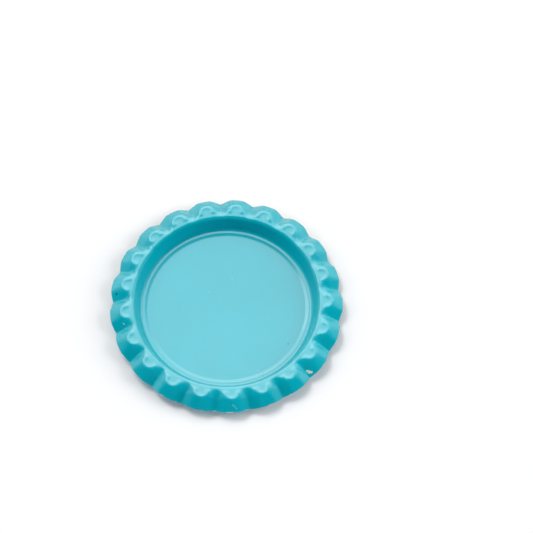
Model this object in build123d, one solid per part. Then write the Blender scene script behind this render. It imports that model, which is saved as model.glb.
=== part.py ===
"""Flattened crown bottle cap, pressed from one painted tinplate sheet.

The cap lies inside up on its disc. The origin is the middle of the disc's underside and +Z
comes out of the open mouth. Sizes are in millimetres and angles in degrees.
"""
import os
from math import atan2, cos, degrees, radians, sin, tan

from build123d import *

# Sheet and overall sizes
sheet_thickness = 0.25
outer_diameter = 35.0
cap_height = 2.9

# Fluted brim, from the rim inwards: the sloping skirt, the bend at the tongues' tips, the tongues
flute_count = 21
flute_depth = 1.35
skirt_run = 1.45
skirt_angle = 40.0
tip_width = 0.3
tip_angle = 20.0
tongue_length = 2.1
tongue_angle = 5.0
lobe_half_angle = 3.2
valley_half_angle = 0.7

# Round pan, from the brim inwards: the rounded shoulder, the wall, the ledge and the small step to the floor
shoulder_radius = 1.15
shoulder_bends = 3
wall_angle = 67.0
wall_foot_radius = 0.75
ledge_width = 0.64
step_run = 0.46
step_height = 0.14

# Cut edge: the pressed blank's rim draws in where it is pressed lower
edge_taper = 21.0
overrun = 2.0

half_sheet = sheet_thickness / 2
UPPER, LOWER = 1, -1


def face_point(radius, level, slope_before, slope_after, side):
    """Corner of one face of the sheet, where its middle line has a corner between two slopes."""
    mean_slope = radians((slope_before + slope_after) / 2)
    half_turn = radians((slope_after - slope_before) / 2)
    shift = side * half_sheet / cos(half_turn)
    return (radius - shift * sin(mean_slope), level + shift * cos(mean_slope))


# Derived sizes on the middle of the sheet
floor_level = half_sheet
ledge_level = floor_level + step_height
crest_lift = face_point(0, 0, tongue_angle, -tip_angle, UPPER)[1]
brim_level = cap_height - crest_lift
rim_radius = outer_diameter / 2
tip_radius = rim_radius - skirt_run
tip_start_radius = tip_radius - tip_width
tip_end_level = brim_level - tip_width * tan(radians(tip_angle))
valley_share = 1 - flute_depth / tip_radius
tongue_slope = tan(radians(tongue_angle))
wall_top_radius = tip_radius - tongue_length
wall_top_level = brim_level - (tip_start_radius - wall_top_radius) * tongue_slope
wall_foot = wall_top_radius - (wall_top_level - ledge_level) / tan(radians(wall_angle))
step_end_radius = wall_foot - ledge_width
floor_radius = step_end_radius - step_run
step_angle = degrees(atan2(step_height, step_run))
clear_radius = rim_radius + overrun
clear_height = cap_height + overrun
clear_brim_level = brim_level + (clear_radius - tip_start_radius) * tongue_slope
flute_pitch = 360 / flute_count

def shoulder(side):
    """Corners of one face of the shoulder, which turns from the wall to the tongues in a few equal bends."""
    whole_turn = wall_angle - tongue_angle
    turn = whole_turn / shoulder_bends
    facet = 2 * shoulder_radius * tan(radians(turn / 2))
    below_corner = shoulder_radius * tan(radians(whole_turn / 2)) - facet / 2
    spot = Vector(wall_top_radius, wall_top_level) - Vector(below_corner, 0).rotate(Axis.Z, wall_angle)
    corners = []
    for bend in range(shoulder_bends):
        slope_before = wall_angle - bend * turn
        slope_after = slope_before - turn
        corners.append(face_point(spot.X, spot.Y, slope_before, slope_after, side))
        spot += Vector(facet, 0).rotate(Axis.Z, slope_after)
    return corners


def mouth(side):
    """Round space over one face of the pan, from its floor up past the brim."""
    floor_middle = face_point(0, floor_level, 0, 0, side)
    brim_end = face_point(clear_radius, clear_brim_level, tongue_angle, tongue_angle, side)
    section = FilletPolyline(
        floor_middle,
        face_point(floor_radius, floor_level, 0, step_angle, side),
        face_point(step_end_radius, ledge_level, step_angle, 0, side),
        face_point(wall_foot, ledge_level, 0, wall_angle, side),
        *shoulder(side),
        brim_end,
        radius=[0, 0, wall_foot_radius - side * half_sheet] + [0] * shoulder_bends,
    )
    lid = Polyline(brim_end, (clear_radius, clear_height), (0, clear_height), floor_middle)
    return revolve(Plane.XZ * make_face([section, lid]), Axis.Z)


def star(radius, level):
    """Corners of the flutes' outline at one level, with flat lobes and narrow flat valleys."""
    lobe = (0, lobe_half_angle, radius)
    valley = (flute_pitch / 2, valley_half_angle, radius * valley_share)
    corners = []
    for flute in range(flute_count):
        for turn, half_angle, reach in (lobe, valley):
            corner = Vector(reach / cos(radians(half_angle)), 0, level)
            middle = flute * flute_pitch + turn
            corners.append(corner.rotate(Axis.Z, middle - half_angle))
            corners.append(corner.rotate(Axis.Z, middle + half_angle))
    return corners


def fluted_body(side):
    """Fluted block under one face of the brim, reaching above it and below the disc."""
    tip_start = face_point(tip_start_radius, brim_level, tongue_angle, -tip_angle, side)
    tip_end = face_point(tip_radius, tip_end_level, -tip_angle, -skirt_angle, side)
    top_radius = tip_start[0] - overrun
    top_level = tip_start[1] + overrun * tan(radians(tip_angle))
    base_level = -overrun
    base_radius = tip_end[0] + (tip_end[1] - base_level) / tan(radians(skirt_angle))
    outlines = [star(top_radius, top_level), star(*tip_end), star(base_radius, base_level)]
    facets = [outlines[0], outlines[-1]]
    for upper, lower in zip(outlines, outlines[1:]):
        for k in range(len(upper)):
            facets.append([upper[k - 1], upper[k], lower[k], lower[k - 1]])
    return Solid(Shell([Face(Wire.make_polygon(facet)) for facet in facets]))


def rim_trim():
    """Cone that cuts the sheet's outer edge, widest at the lobes."""
    tip_face_radius, tip_face_level = face_point(tip_radius, tip_end_level, -tip_angle, -skirt_angle, UPPER)
    lobe_run = rim_radius * cos(radians(lobe_half_angle)) - tip_face_radius
    lobe_edge_level = tip_face_level - lobe_run * tan(radians(skirt_angle))
    taper = tan(radians(edge_taper))
    low = (rim_radius - (lobe_edge_level + overrun) * taper, -overrun)
    high = (rim_radius + (clear_height - lobe_edge_level) * taper, clear_height)
    outline = Polyline((0, -overrun), low, high, (0, clear_height), close=True)
    return revolve(Plane.XZ * make_face(outline), Axis.Z)


# The sheet is what lies under its upper face and not under its lower face
under_upper_face = fluted_body(UPPER) - mouth(UPPER)
under_lower_face = fluted_body(LOWER) - mouth(LOWER)
cap_shell = (under_upper_face - under_lower_face) & rim_trim()

os.makedirs("parts", exist_ok=True)
export_step(cap_shell, "parts/cap_shell.step")
print(f"cap shell volume {cap_shell.volume:.1f} mm3, box {cap_shell.bounding_box().size}")
print(f"flat floor {2 * floor_radius:.2f} mm across")
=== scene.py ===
# %% [markdown]
# # A flattened crown bottle cap
# This lesson dresses a measured bottle cap for a picture. The real cap is one disc of thin tinplate,
# pressed into a shallow pan with a fluted brim and sprayed with glossy turquoise enamel on both faces.
# The exact solid comes first: it fixes the size and the place, so the first step loads it.

# %% Load the exact solid
from math import cos, exp, hypot, pi, radians, sin, sqrt, tan

import bmesh
import bpy
from mathutils import Matrix, Vector


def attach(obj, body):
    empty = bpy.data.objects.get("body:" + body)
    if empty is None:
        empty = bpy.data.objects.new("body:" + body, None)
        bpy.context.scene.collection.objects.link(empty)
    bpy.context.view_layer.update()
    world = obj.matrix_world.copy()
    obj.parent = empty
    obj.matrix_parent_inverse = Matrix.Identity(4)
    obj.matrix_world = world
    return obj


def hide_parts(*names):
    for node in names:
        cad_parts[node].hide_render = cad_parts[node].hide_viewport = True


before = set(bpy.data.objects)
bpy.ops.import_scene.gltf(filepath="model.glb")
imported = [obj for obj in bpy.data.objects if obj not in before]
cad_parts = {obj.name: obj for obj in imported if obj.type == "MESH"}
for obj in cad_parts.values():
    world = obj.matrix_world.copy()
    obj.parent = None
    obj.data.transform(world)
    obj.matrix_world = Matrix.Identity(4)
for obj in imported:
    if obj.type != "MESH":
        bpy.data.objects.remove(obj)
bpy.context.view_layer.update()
MM = 0.001

# %% [markdown]
# ## The pan's section
# A press shapes the flat blank into a round pan: a flat floor, a small step that stiffens it, a wall
# and a rounded shoulder that turns out into the brim. All of that is one line turned about the axis.
# The pan could be carved out of a cylinder, but a line of a few corners is easier to read and change.
# The line follows the upper face of the sheet, which is the one that shows.

# %% Corners of the section, in millimetres
sheet = 0.25
floor_radius = 11.92
ring_radius, ring_level = 12.36, 0.39
wall_foot_radius = 13.02
wall_angle = 72.2
shoulder_level = 2.71
tongue_angle = 2.5
rim_radius = 17.47

shoulder_radius = wall_foot_radius + (shoulder_level - ring_level) / tan(radians(wall_angle))


def tongue_level(radius):
    """Height of the tongues' plain upper face at a distance from the axis."""
    return shoulder_level + (radius - shoulder_radius) * tan(radians(tongue_angle))


section_corners = [
    (0, sheet),
    (floor_radius, sheet),
    (ring_radius, ring_level),
    (wall_foot_radius, ring_level),
    (shoulder_radius, shoulder_level),
    (rim_radius, tongue_level(rim_radius)),
]
print("shoulder at", round(shoulder_radius, 2), "mm from the axis")

# %% [markdown]
# ## The bends of the line
# A press tool has a radius at each bend, so no corner of the real section is sharp. The corners are
# rounded by bevelling the line's own vertices. Each bend has its own reach: small at the step round
# the floor, larger at the foot of the wall and largest at the shoulder.

# %% Draw the line and round its bends
# corner number: reach of the bend along the line in millimetres, and how many pieces it is cut into
section_bends = {1: (0.15, 3), 2: (0.07, 3), 3: (0.42, 10), 4: (0.46, 12)}

sheet_mesh = bmesh.new()
edge_layer = sheet_mesh.verts.layers.float.new("cut_edge")
line = [sheet_mesh.verts.new((r * MM, 0, z * MM)) for r, z in section_corners]
for start, end in zip(line, line[1:]):
    sheet_mesh.edges.new((start, end))
for corner, (reach, pieces) in section_bends.items():
    bmesh.ops.bevel(
        sheet_mesh, geom=[line[corner]], offset=reach * MM, offset_type="OFFSET", affect="VERTICES",
        segments=pieces, profile=0.5, material=-1, clamp_overlap=True,
    )
print("section:", len(sheet_mesh.verts), "points")

# %% [markdown]
# ## From the line to a round sheet
# The brim needs more points than the pan, because the flutes bend it, so its last edge is cut into
# short pieces. Then the line is spun once about the axis. The number of steps is a multiple of the
# number of flutes, so that every flute gets the same points.

# %% Spin the section
flute_count = 21
steps_per_flute = 30
brim_cuts = 26
merge_distance = 0.001

brim_edge = max(sheet_mesh.edges, key=lambda edge: sum(v.co.x for v in edge.verts))
bmesh.ops.subdivide_edges(sheet_mesh, edges=[brim_edge], cuts=brim_cuts)
bmesh.ops.spin(
    sheet_mesh, geom=sheet_mesh.verts[:] + sheet_mesh.edges[:], cent=(0, 0, 0), axis=(0, 0, 1),
    angle=2 * pi, steps=flute_count * steps_per_flute, use_merge=True,
)
bmesh.ops.remove_doubles(sheet_mesh, verts=sheet_mesh.verts[:], dist=merge_distance * MM)
bmesh.ops.recalc_face_normals(sheet_mesh, faces=sheet_mesh.faces[:])
outermost = max(sheet_mesh.faces, key=lambda face: face.calc_center_median().xy.length)
if outermost.normal.z < 0:
    bmesh.ops.reverse_faces(sheet_mesh, faces=sheet_mesh.faces[:])
print("spun sheet:", len(sheet_mesh.verts), "points,", len(sheet_mesh.faces), "faces")

# %% [markdown]
# ## The flutes' plan
# The crimping tool pulls the brim down into 21 narrow valleys and leaves a rounded tongue standing
# between each pair. Seen from above, the line round the tongues' tips swings in and out like a wave.
# A sine would be too soft: the real lobes have corners, and the valleys end in creases at the rim.
# So the wave is a straight ramp with rounded ends, and its shape changes from the tips to the rim.

# %% How far a point lies towards a valley
flute_pitch = 360 / flute_count
# half angle in degrees, and how round the ramp is there
lobe_at_tip, lobe_at_rim = (3.0, 0.55), (3.6, 0.18)
valley_at_head, valley_at_rim = (1.9, 0.40), (0.0, 0.04)


def soft_ramp(share, start_round, end_round):
    """Straight ramp from 0 to 1 over a share of 0 to 1, rounded at both ends."""
    return (sqrt(share ** 2 + start_round ** 2) - sqrt((share - 1) ** 2 + end_round ** 2) + 1) / 2


def from_lobe(angle):
    """Angle off the middle of the nearest lobe, positive or negative."""
    return (angle + flute_pitch / 2) % flute_pitch - flute_pitch / 2


def towards_valley(angle, lobe, valley):
    """0 along the middle of a lobe and 1 along the middle of a valley."""
    (lobe_half, lobe_round), (valley_half, valley_round) = lobe, valley
    flank = flute_pitch / 2 - valley_half - lobe_half
    here, at_lobe, at_valley = [
        soft_ramp((off - lobe_half) / flank, lobe_round, valley_round)
        for off in (abs(from_lobe(angle)), 0, flute_pitch / 2)
    ]
    return (here - at_lobe) / (at_valley - at_lobe)


# from the middle of a lobe to the middle of a valley
eighths = [k * flute_pitch / 8 for k in range(5)]
for name, plan in (("tips", (lobe_at_tip, valley_at_head)), ("rim", (lobe_at_rim, valley_at_rim))):
    print("valley weight at the", name, [round(towards_valley(a, *plan), 2) for a in eighths])

# %% [markdown]
# ## The line of the tips
# The real tongues end in a line that runs out round each tip and back in to the head of each valley.
# It could be drawn as a curve and swept, but the sheet's points only need to know how far out the line
# is at their own angle, and the plan from the last step gives that. Towards the rim the lobes grow
# wider and the valleys close to a crease, so the plan changes with the distance from the axis.

# %% Tip line of the tongues
tip_radius = 16.0
valley_head_radius = 14.56
# distances from the axis between which the plan changes
lobe_change, valley_change = (15.2, 17.3), (14.6, 16.0)


def smooth_step(low, high, value):
    """0 below low, 1 above high, and an S-curve between."""
    share = min(max((value - low) / (high - low), 0), 1)
    return share * share * (3 - 2 * share)


def between(first, second, share):
    """Pair of numbers that lies between two pairs."""
    return [a + (b - a) * share for a, b in zip(first, second)]


def tip_line(angle, radius):
    """Weight towards the valley, and distance of the tip line from the axis."""
    lobe = between(lobe_at_tip, lobe_at_rim, smooth_step(*lobe_change, radius))
    valley = between(valley_at_head, valley_at_rim, smooth_step(*valley_change, radius))
    weight = towards_valley(angle, lobe, valley)
    return weight, tip_radius + (valley_head_radius - tip_radius) * weight


middles = {"lobe": 0, "valley": flute_pitch / 2}
for name, angle in middles.items():
    print("tip line in the middle of a", name, round(tip_line(angle, tip_radius)[1], 2), "mm")

# %% [markdown]
# ## Tongues and skirt
# On the real cap each tongue is a shallow dish with a raised lip at its tip, and beyond the lip the
# sheet slopes down and out to the cut edge. Flutes could be cut one by one and joined, but one rule
# for the height makes them all without a seam. A lip is raised along a U on each tongue, a sloping
# skirt starts at the tip line, and each point sinks to the skirt where the skirt is lower. A soft
# minimum in place of a plain one rounds the bend.

# %% Heights of the brim
lobe_slope = tan(radians(40.0))
valley_slope = tan(radians(35.0))
notch_depth = 0.42
lip_height, lip_width = 0.09, 0.37
lip_centre, lip_half = 15.0, 0.95
# distances from the axis between which the lip rises
lip_rise = (14.4, 15.0)
round_at_tip, round_in_valley = 0.18, 0.32


def tongue_lip(radius, angle):
    """Height of the U-shaped lip round a tongue's dish."""
    across = radians(from_lobe(angle)) * radius
    off_lip = hypot(across, max(radius - lip_centre, 0)) - lip_half
    return lip_height * exp(-(off_lip / lip_width) ** 2) * smooth_step(*lip_rise, radius)


def brim_point(radius, angle, level):
    """New distance from the axis and new height of a point of the plain sheet."""
    weight, tip = tip_line(angle, radius)
    share = max(radius - shoulder_radius, 0) / (rim_radius - shoulder_radius)
    new_radius = radius - notch_depth * weight * share ** 2
    level += tongue_lip(radius, angle)
    slope = lobe_slope + (valley_slope - lobe_slope) * weight
    skirt = tongue_level(tip) + lip_height * (1 - weight) - slope * (new_radius - tip)
    bend = round_at_tip + (round_in_valley - round_at_tip) * weight
    return new_radius, (level + skirt - sqrt((level - skirt) ** 2 + bend ** 2)) / 2


plain_rim = tongue_level(rim_radius)
for name, angle in middles.items():
    print(name, "reaches", [round(n, 2) for n in brim_point(rim_radius, angle, plain_rim)])

# %% [markdown]
# ## The dents at the valley heads
# At the head of each valley, the tooth of the tool leaves a small oval dent with a raised border. It is
# a detail of a millimetre, but it catches the light. A boolean cut could stamp it, but a change in
# height keeps the sheet whole: a narrow hollow inside a wider swelling.

# %% Press the brim
dent_radius = 14.70
dent_length, dent_width = 0.50, 0.27
dent_hollow, dent_border = 0.085, 0.042
hollow_sharpness = 3
# how far inside the shoulder the press begins to move points
shoulder_margin = 0.6


def dent(radius, angle):
    """Height that the dent at the nearest valley head adds."""
    off_valley = radians(angle % flute_pitch - flute_pitch / 2) * radius
    spread = (off_valley / dent_length) ** 2 + ((radius - dent_radius) / dent_width) ** 2
    return dent_border * exp(-spread) - dent_hollow * exp(-spread * hollow_sharpness)


brim_start = shoulder_radius - shoulder_margin
for point in sheet_mesh.verts:
    radius = point.co.xy.length / MM
    if radius < brim_start:
        continue
    angle = point.co.xy.angle_signed(Vector((1, 0))) * 180 / pi
    new_radius, level = brim_point(radius, angle, point.co.z / MM)
    level += dent(radius, angle) * smooth_step(brim_start, shoulder_radius, radius)
    point.co = point.co.xy.normalized().to_3d() * (new_radius * MM) + Vector((0, 0, level * MM))
    if point.is_boundary:
        point[edge_layer] = 1
rim_levels = [v.co.z / MM for v in sheet_mesh.verts if v.is_boundary]
print("cut edge from", round(min(rim_levels), 2), "to", round(max(rim_levels), 2), "mm high")
print("highest point", round(max(v.co.z for v in sheet_mesh.verts) / MM, 3), "mm")

# %% [markdown]
# ## Thickness and the cut edge
# The sheet gets its thickness downwards, because the section followed its upper face. A blanking die
# leaves a cut edge that is square with slightly broken corners, so the two rims are bevelled by a few
# hundredths of a millimetre. A Solidify modifier could give the thickness too, but the cut edge has to
# be known for its worn paint, so the thickness is made in the mesh.

# %% Give the sheet its thickness
edge_break, edge_pieces = 0.04, 2
bmesh.ops.solidify(sheet_mesh, geom=sheet_mesh.faces[:], thickness=sheet * MM)
rim_faces = {face for face in sheet_mesh.faces if all(v[edge_layer] for v in face.verts)}
# an edge of the rim has one face on the cut edge and one beside it
rim_edges = [
    edge for edge in sheet_mesh.edges
    if {face in rim_faces for face in edge.link_faces} == {True, False}
]
bmesh.ops.bevel(
    sheet_mesh, geom=rim_edges, offset=edge_break * MM, offset_type="OFFSET", affect="EDGES",
    segments=edge_pieces, profile=0.5, material=-1,
)
print("shell:", len(sheet_mesh.faces), "faces,", len(rim_faces), "of them on the cut edge")

# %% [markdown]
# ## From the mesh to an object
# So far the sheet is only a list of points and faces in memory. An object carries it into the scene.
# It stays at the origin, unturned and unscaled, because the points are already where they belong.
# Smooth shading is right for the whole cap: its few sharp lines have small bends of their own.

# %% Make the object
cap_mesh = bpy.data.meshes.new("enamelled_cap")
sheet_mesh.to_mesh(cap_mesh)
sheet_mesh.free()
cap_mesh.polygons.foreach_set("use_smooth", [True] * len(cap_mesh.polygons))
cap = bpy.data.objects.new("enamelled_cap", cap_mesh)
bpy.context.scene.collection.objects.link(cap)
print("triangles:", sum(len(p.vertices) - 2 for p in cap_mesh.polygons))

# %% [markdown]
# ## Patterns for the enamel
# Whatever is uneven about the real paint is a pattern of some size: its drift in colour, its worn edge,
# its ripple. Patterns could be painted as pictures, but noise that fills space needs no unwrapping and
# shows no seam. It reads Object coordinates, which are metres on this cap, so the size of a patch in
# millimetres gives the noise its scale.

# %% Noise of a given size
enamel = bpy.data.materials.new("turquoise_enamel")
enamel.use_nodes = True
nodes, links = enamel.node_tree.nodes, enamel.node_tree.links
where = nodes.new("ShaderNodeTexCoord")


def set_numbers(node, numbers):
    """Set sockets of a node by their names."""
    for name, number in numbers.items():
        node.inputs[name].default_value = number


def noise(size, detail):
    """Noise on the cap whose patches are about a given size in millimetres."""
    pattern = nodes.new("ShaderNodeTexNoise")
    set_numbers(pattern, {"Scale": 1 / (size * MM), "Detail": detail})
    links.new(where.outputs["Object"], pattern.inputs["Vector"])
    return pattern.outputs["Fac"]


def ramp(value, low, high, from_value=0.0, to_value=1.0):
    """Carry a value's range from low to high over to another range, and stop at its ends."""
    carry = nodes.new("ShaderNodeMapRange")
    set_numbers(carry, {"From Min": low, "From Max": high, "To Min": from_value, "To Max": to_value})
    links.new(value, carry.inputs["Value"])
    return carry.outputs["Result"]


# most of the noise lies in this range
noise_range = (0.3, 0.7)
drift_size = 9.0
drift = ramp(noise(drift_size, detail=3), *noise_range)
print("the colour drifts in patches of about", drift_size, "mm")

# %% [markdown]
# ## The enamel's colour
# The paint on the real cap is a strong turquoise pigment in a glossy binder, sprayed on and baked. One
# plain colour would look like plastic, because real enamel is never quite even: it lies a little
# thicker in some places and thinner in others. So the colour drifts slowly between a deeper and a
# paler turquoise.

# %% Colour of the enamel
deep_turquoise = (0.0012, 0.395, 0.467)
pale_turquoise = (0.0024, 0.425, 0.502)


def blend(share, first, second):
    """Mix two colours, each a value or the output of a node."""
    mix = nodes.new("ShaderNodeMix")
    mix.data_type = "RGBA"
    links.new(share, mix.inputs["Factor"])
    # the node has sockets for each data type: inputs 6 and 7 and output 2 are the colours
    for socket, colour in ((mix.inputs[6], first), (mix.inputs[7], second)):
        if isinstance(colour, tuple):
            socket.default_value = (*colour, 1)
        else:
            links.new(colour, socket)
    return mix.outputs[2]


paint = nodes["Principled BSDF"]
set_numbers(paint, {"IOR": 1.5, "Coat Weight": 0.2, "Coat Roughness": 0.06})
colour = blend(drift, deep_turquoise, pale_turquoise)
print("enamel drifts from", deep_turquoise, "to", pale_turquoise)

# %% [markdown]
# ## Worn paint at the cut edge
# The blank is cut after it is painted, so the enamel stops at the rim and chips there, and the bright
# tinplate shows in short glints. The mesh carries a number that is 1 on the cut edge and falls to 0
# one row of points further in. Added to a fine noise, it makes a ragged line of bare metal.

# %% Bare metal at the rim
tinplate = (0.70, 0.66, 0.60)
glint_size = 0.9
edge_weight = 0.55
# paint below this range of the sum, and bare metal above it
bare_range = (1.10, 1.16)


def calculate(tree, operation, *parts):
    """One math node over numbers and outputs of other nodes of the same tree."""
    node = tree.nodes.new("ShaderNodeMath")
    node.operation = operation
    for socket, part in zip(node.inputs, parts):
        if isinstance(part, (int, float)):
            socket.default_value = part
        else:
            tree.links.new(part, socket)
    return node.outputs["Value"]


rim = nodes.new("ShaderNodeAttribute")
rim.attribute_name = "cut_edge"
glints = noise(glint_size, detail=2)
ragged = calculate(enamel.node_tree, "MULTIPLY_ADD", rim.outputs["Fac"], edge_weight, glints)
bare = ramp(ragged, *bare_range)
colour = blend(bare, colour, tinplate)
links.new(bare, paint.inputs["Metallic"])
print("bare tinplate shows along the cut edge")

# %% [markdown]
# ## Baked-in dust
# A little dust always settles on wet enamel and is baked in with it, and shows as pale pinpricks. They
# could be set one by one, but a Voronoi pattern scatters them by itself: each cell of space has one
# point, and a small ball round the point is dust. The thin sheet cuts through only some of the balls.

# %% Dust in the enamel
dust_colour = (0.30, 0.62, 0.66)
dust_radius, dust_spacing = 0.10, 2.0
# share of the radius that is full dust, and how much of the dust's colour shows there
dust_core, dust_strength = 0.6, 0.45

cells = nodes.new("ShaderNodeTexVoronoi")
set_numbers(cells, {"Scale": 1 / (dust_spacing * MM)})
links.new(where.outputs["Object"], cells.inputs["Vector"])
dust_border = dust_radius / dust_spacing
dust = ramp(cells.outputs["Distance"], dust_border, dust_core * dust_border, 0.0, dust_strength)
colour = blend(dust, colour, dust_colour)
print("balls of dust:", dust_radius, "mm in radius, in cells of about", dust_spacing, "mm")

# %% [markdown]
# ## Chips and specks
# A cap that is kept loose in a box gets knocked about. On the fluted skirt, which takes the knocks,
# small chips show the pale undercoat, and a few dark specks stick to the paint. A pattern would
# scatter too many, so these few are listed one by one, about where they sit on the real cap. Each is
# the space round one point, and noise breaks up its border.

# %% Chips and dark specks
undercoat = (0.72, 0.80, 0.64)
soot_colour = (0.001, 0.04, 0.07)
# size of the noise in millimetres, and half the width of a spot's border in radii of the spot
border_size, border_half = 0.3, 0.15
# in radii too, and well outside any border
far_off = 10.0


def spots(places, ragged_by):
    """1 inside small spots, each given by its middle and its radius in millimetres."""
    nearest = far_off
    for *middle, radius in places:
        away = nodes.new("ShaderNodeVectorMath")
        away.operation = "DISTANCE"
        away.inputs[1].default_value = Vector(middle) * MM
        links.new(where.outputs["Object"], away.inputs[0])
        in_radii = calculate(enamel.node_tree, "DIVIDE", away.outputs["Value"], radius * MM)
        nearest = calculate(enamel.node_tree, "MINIMUM", nearest, in_radii)
    wobble = noise(border_size, detail=2)
    border = calculate(enamel.node_tree, "MULTIPLY_ADD", wobble, ragged_by, nearest)
    # a spot ends one radius from its middle, and the noise adds half of ragged_by on average
    edge = 1 + ragged_by / 2
    return ramp(border, edge + border_half, edge - border_half)


chips = [
    (12.10, -10.85, 1.66, 0.19), (12.40, -11.00, 1.55, 0.24), (12.72, -10.95, 1.48, 0.20),
    (12.55, -10.50, 1.86, 0.10), (14.95, -6.55, 2.25, 0.12),
    (-15.10, -4.05, 2.30, 0.09), (-15.25, -3.85, 2.36, 0.07),
    (1.35, -16.62, 2.33, 0.06), (1.60, -16.80, 2.18, 0.06), (1.85, -16.98, 2.02, 0.07),
]
soot = [(-16.52, 1.00, 1.98, 0.14), (1.96, 12.91, 0.72, 0.10), (9.30, -6.00, 0.25, 0.10)]
colour = blend(spots(soot, ragged_by=0.3), colour, soot_colour)
colour = blend(spots(chips, ragged_by=0.7), colour, undercoat)
links.new(colour, paint.inputs["Base Color"])
print(len(chips), "chip spots and", len(soot), "dark specks")

# %% [markdown]
# ## Gloss and orange peel
# Sprayed enamel dries with a faint ripple, called orange peel, and handling leaves parts of it a
# little duller. The ripple is far too shallow to model, so it is a bump: a fine one for the peel and
# a broad one for the slight unevenness of thin sheet metal.

# %% Roughness and bump
dull_size = 3.0
glossy, dull = 0.09, 0.15
# size and height of the ripples in millimetres
orange_peel, uneven_sheet = (0.5, 0.0008), (7.0, 0.004)

handling = noise(dull_size, detail=4)
links.new(ramp(handling, *noise_range, glossy, dull), paint.inputs["Roughness"])
surface = None
for size, height in (orange_peel, uneven_sheet):
    bump = nodes.new("ShaderNodeBump")
    set_numbers(bump, {"Strength": 1.0, "Distance": height * MM})
    links.new(noise(size, detail=1), bump.inputs["Height"])
    if surface:
        links.new(surface, bump.inputs["Normal"])
    surface = bump.outputs["Normal"]
links.new(surface, paint.inputs["Normal"])
cap.data.materials.append(enamel)
print("enamel has", len(nodes), "nodes")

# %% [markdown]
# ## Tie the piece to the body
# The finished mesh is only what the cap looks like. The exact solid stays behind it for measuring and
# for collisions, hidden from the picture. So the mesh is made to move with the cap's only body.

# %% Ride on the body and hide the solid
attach(cap, "root")
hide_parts("cap_shell")
print(cap.name, "rides on the root body")

# %% [markdown]
# ## The floor
# The cap lies on white card. A large flat square is enough for it, because only the cap's shadow shows
# on it. Its white is slightly warm, to make up for the cool light from the front, so that the card
# itself comes out white. It belongs to the set and not to the cap.

# %% Floor
floor_half = 2.0
card_white = (0.98, 0.94, 0.92)
floor_square = bmesh.new()
bmesh.ops.create_grid(floor_square, x_segments=1, y_segments=1, size=floor_half)
floor_mesh = bpy.data.meshes.new("floor")
floor_square.to_mesh(floor_mesh)
floor_square.free()
floor = bpy.data.objects.new("floor", floor_mesh)
bpy.context.scene.collection.objects.link(floor)
white = bpy.data.materials.new("white_floor")
white.use_nodes = True
card = white.node_tree.nodes["Principled BSDF"]
card.inputs["Base Color"].default_value = (*card_white, 1)
set_numbers(card, {"Roughness": 0.8, "Specular IOR Level": 0.1})
floor.data.materials.append(white)
print("floor is", 2 * floor_half, "m wide")

# %% [markdown]
# ## The light tent
# Glossy enamel shows what stands round it, so much of its look is the room that it mirrors. Small
# things are photographed in a tent of white cloth with bright panels outside it. Here the world is that
# tent: its back half is pale cloth, with a panel high behind the cap, one lower down and a small one on
# each side. The panels could be lamps or meshes, but in the world each is only a direction with a soft
# border, and none can get into the picture. The small ones draw the bright lines on the step and the
# shoulder.

# %% Panels of the tent
world = bpy.data.worlds.new("light_tent")
bpy.context.scene.world = world
world.use_nodes = True
tent_nodes, tent_links = world.node_tree.nodes, world.node_tree.links
direction = tent_nodes.new("ShaderNodeTexCoord")


def glow(towards, dark_at, bright_at, level):
    """Light from round one direction, which fades out between two cosines of the angle off it."""
    facing = tent_nodes.new("ShaderNodeVectorMath")
    facing.operation = "DOT_PRODUCT"
    facing.inputs[1].default_value = Vector(towards).normalized()
    fade = tent_nodes.new("ShaderNodeMapRange")
    fade.interpolation_type = "SMOOTHSTEP"
    set_numbers(fade, {"From Min": dark_at, "From Max": bright_at, "To Min": 0, "To Max": level})
    tent_links.new(direction.outputs["Generated"], facing.inputs[0])
    tent_links.new(facing.outputs["Value"], fade.inputs["Value"])
    return fade.outputs["Result"]


pale_cloth = glow((0, 1, 0), dark_at=-0.3, bright_at=0.6, level=0.31)
high_panel = glow((-0.12, 0.56, 0.82), dark_at=0.84, bright_at=0.96, level=0.44)
low_panel = glow((0, 0.85, 0.50), dark_at=0.75, bright_at=0.98, level=0.45)
left_panel = glow((-0.42, 0.38, 0.825), dark_at=0.972, bright_at=0.992, level=0.55)
right_panel = glow((0.62, 0.47, 0.63), dark_at=0.96, bright_at=0.99, level=0.45)
panels = [high_panel, low_panel, left_panel, right_panel]
tent_level = pale_cloth
for panel in panels:
    tent_level = calculate(world.node_tree, "ADD", tent_level, panel)
print("the tent has", len(panels), "panels")

# %% [markdown]
# ## What the tent does to each ray
# Enamel mirrors only about a twentieth of what it faces, so panels that are bright enough to show in it
# would light the cap far too much. The Light Path node tells the rays apart: a mirrored ray sees the
# tent several times brighter than a ray that only carries light, and the camera sees plain white.

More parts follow.
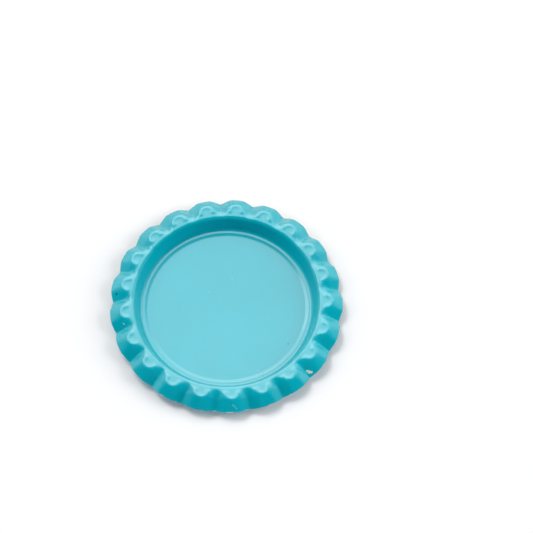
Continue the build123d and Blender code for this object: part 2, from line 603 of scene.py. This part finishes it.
# %% Mirrored rays and the backdrop
extra_gloss = 4.1
tent_white = (0.97, 0.99, 1.0)
ray = tent_nodes.new("ShaderNodeLightPath")
gloss = calculate(world.node_tree, "MULTIPLY_ADD", ray.outputs["Is Glossy Ray"], extra_gloss, 1.0)
tent = tent_nodes["Background"]
tent.inputs["Color"].default_value = (*tent_white, 1)
tent_links.new(calculate(world.node_tree, "MULTIPLY", tent_level, gloss), tent.inputs["Strength"])
backdrop = tent_nodes.new("ShaderNodeBackground")
backdrop.inputs["Color"].default_value = (1, 1, 1, 1)
either = tent_nodes.new("ShaderNodeMixShader")
tent_links.new(ray.outputs["Is Camera Ray"], either.inputs["Fac"])
tent_links.new(tent.outputs["Background"], either.inputs[1])
tent_links.new(backdrop.outputs["Background"], either.inputs[2])
tent_links.new(either.outputs["Shader"], tent_nodes["World Output"].inputs["Surface"])
print("mirrored rays see the tent", 1 + extra_gloss, "times as bright")

# %% [markdown]
# ## Soft boxes
# The tent's light comes from behind and would leave the far wall and the near skirt dark. Four soft
# boxes fill them in: a cool one in front, one on each side, and a key from behind on the left that
# throws the shadow to the lower right. Mirrored rays don't see them, because the tent's panels are
# already there.

# %% Soft boxes round the cap
lamp_distance = 1.0
fill_width, key_width = 0.7, 0.4
cool, neutral = (0.42, 0.74, 1.0), (1, 1, 1)


def soft_box(name, azimuth, elevation, width, watts, colour):
    """Square lamp that looks at the cap from a direction; azimuth 0 is in front and 180 behind."""
    light = bpy.data.lights.new(name, "AREA")
    light.size = width
    light.energy = watts
    light.color = colour
    box = bpy.data.objects.new(name, light)
    turn, rise = radians(azimuth), radians(elevation)
    box.location = Vector((sin(turn) * cos(rise), -cos(turn) * cos(rise), sin(rise))) * lamp_distance
    box.rotation_euler = (-box.location).to_track_quat("-Z", "Y").to_euler()
    box.visible_glossy = False
    bpy.context.scene.collection.objects.link(box)
    print(name, watts, "W")


soft_box("front_fill", azimuth=0, elevation=42, width=fill_width, watts=2.4, colour=cool)
soft_box("left_fill", azimuth=270, elevation=27, width=fill_width, watts=3.3, colour=neutral)
soft_box("right_fill", azimuth=90, elevation=27, width=fill_width, watts=7.0, colour=neutral)
soft_box("overhead_key", azimuth=225, elevation=56, width=key_width, watts=3.9, colour=neutral)

# %% [markdown]
# ## The camera
# The photograph fixes the view. The outline of the round cap is an ellipse in it, which gives the tilt,
# and the near half is a little larger than the far half, which gives the distance. The camera could be
# turned by hand until it fits. It is more exact to write down the cap's axis as the camera sees it and
# to work back from that to the camera's own axes.

# %% Camera
photo_size = 533
lens_pixels = 1450
camera_distance = 218 * MM
cap_in_photo = (226.5, 303.2)
cap_axis_in_view = Vector((-0.012, 0.411, 0.911)).normalized()
cap_turn = -1.2
aim_level = 1.4 * MM

lens = bpy.data.cameras.new("camera")
lens.lens = lens.sensor_width * lens_pixels / photo_size
camera = bpy.data.objects.new("camera", lens)
bpy.context.scene.collection.objects.link(camera)
up = cap_axis_in_view
side = Vector((1, 0, 0))
side = (side - up * side.dot(up)).normalized()
straight_at_cap = Matrix((side, up.cross(side), up))
half_size = photo_size / 2
to_cap = Vector((cap_in_photo[0] - half_size, half_size - cap_in_photo[1], -lens_pixels)).normalized()
off_centre = Vector((0, 0, -1)).rotation_difference(to_cap).to_matrix()
turn = Matrix.Rotation(radians(-cap_turn), 3, "Z")
view_axes = turn @ straight_at_cap @ off_centre.transposed()
place = Vector((0, 0, aim_level)) - view_axes @ to_cap * camera_distance
camera.matrix_world = Matrix.Translation(place) @ view_axes.to_4x4()
bpy.context.scene.camera = camera
bpy.context.scene.view_settings.view_transform = "Standard"
print("camera at", [round(n / MM) for n in place], "mm, lens", round(lens.lens, 1), "mm")

# %% [markdown]
# ## The last update
# The view layer is brought up to date once more, so that every object stands where it was put.

# %% Update the view layer
bpy.context.view_layer.update()
